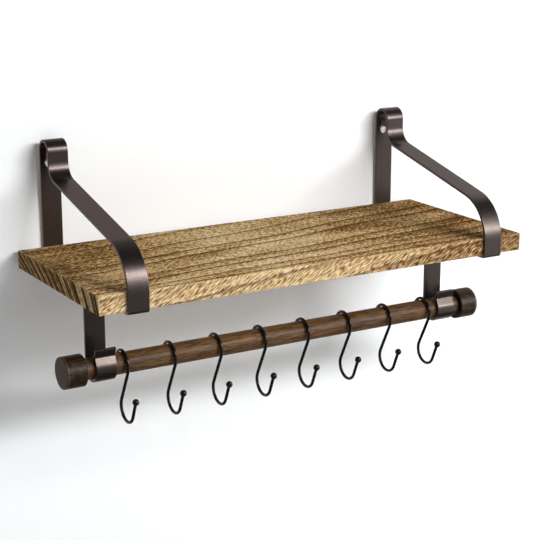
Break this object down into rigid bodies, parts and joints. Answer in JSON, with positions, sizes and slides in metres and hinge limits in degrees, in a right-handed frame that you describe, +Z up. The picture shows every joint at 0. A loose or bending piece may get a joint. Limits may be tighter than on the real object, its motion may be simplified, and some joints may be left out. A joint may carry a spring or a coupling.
{
  "type": "wall shelf with hanging rail",
  "caption": "Wooden wall shelf held in bent steel strip brackets, with a clipped-in round wooden rail below it and S-hooks that swing on the rail.",
  "frame": {"origin": "midway between the two wall screws, on the face of the wall that the brackets' backs lie on", "axes": "+X along the shelf to the viewer's right, -Y out from the wall into the room, +Z up"},
  "size_m": [0.4258, 0.2123, 0.2332],
  "materials": {
    "plank_wood": "torched and oiled softwood, long dark grain",
    "rail_wood": "dark walnut stain, satin",
    "knob_wood": "dark walnut stain, satin, turned",
    "bracket_finish": "dark bronze satin powder coat on steel strip",
    "hook_finish": "near-black bronze coat on steel wire, semi-gloss",
    "wall_screw_steel": "darkened steel",
    "hanger_screw_steel": "darkened steel",
    "knob_screw_steel": "bright zinc"
  },
  "bodies": {
    "frame": {"shelf_plank": "plank_wood", "bracket_left": "bracket_finish", "bracket_right": "bracket_finish", "rail_hanger_left": "bracket_finish", "rail_hanger_right": "bracket_finish", "wall_screw_left": "wall_screw_steel", "wall_screw_right": "wall_screw_steel", "hanger_screws_left": "hanger_screw_steel", "hanger_screws_right": "hanger_screw_steel"},
    "rail": {"hanging_rail": "rail_wood", "rail_knob_left": "knob_wood", "rail_knob_right": "knob_wood", "knob_screw_left": "knob_screw_steel", "knob_screw_right": "knob_screw_steel"},
    "hook_1": {"s_hook_1": "hook_finish"},
    "hook_2": {"s_hook_2": "hook_finish"},
    "hook_3": {"s_hook_3": "hook_finish"},
    "hook_4": {"s_hook_4": "hook_finish"},
    "hook_5": {"s_hook_5": "hook_finish"},
    "hook_6": {"s_hook_6": "hook_finish"},
    "hook_7": {"s_hook_7": "hook_finish"},
    "hook_8": {"s_hook_8": "hook_finish"}
  },
  "joints": [
    {"name": "rail_slide", "type": "slide", "parent": "frame", "child": "rail", "axis": [1, 0, 0], "range_m": [-0.00775, 0.00775]},
    {"name": "hook_1_swing", "type": "hinge", "parent": "rail", "child": "hook_1", "pos_m": [-0.157, -0.0985, -0.1657], "axis": [1, 0, 0], "range_deg": [-75, 60]},
    {"name": "hook_2_swing", "type": "hinge", "parent": "rail", "child": "hook_2", "pos_m": [-0.11214, -0.0985, -0.1657], "axis": [1, 0, 0], "range_deg": [-75, 60]},
    {"name": "hook_3_swing", "type": "hinge", "parent": "rail", "child": "hook_3", "pos_m": [-0.06729, -0.0985, -0.1657], "axis": [1, 0, 0], "range_deg": [-75, 60]},
    {"name": "hook_4_swing", "type": "hinge", "parent": "rail", "child": "hook_4", "pos_m": [-0.02243, -0.0985, -0.1657], "axis": [1, 0, 0], "range_deg": [-75, 60]},
    {"name": "hook_5_swing", "type": "hinge", "parent": "rail", "child": "hook_5", "pos_m": [0.02243, -0.0985, -0.1657], "axis": [1, 0, 0], "range_deg": [-75, 60]},
    {"name": "hook_6_swing", "type": "hinge", "parent": "rail", "child": "hook_6", "pos_m": [0.06729, -0.0985, -0.1657], "axis": [1, 0, 0], "range_deg": [-75, 60]},
    {"name": "hook_7_swing", "type": "hinge", "parent": "rail", "child": "hook_7", "pos_m": [0.11214, -0.0985, -0.1657], "axis": [1, 0, 0], "range_deg": [-75, 60]},
    {"name": "hook_8_swing", "type": "hinge", "parent": "rail", "child": "hook_8", "pos_m": [0.157, -0.0985, -0.1657], "axis": [1, 0, 0], "range_deg": [-75, 60]}
  ]
}
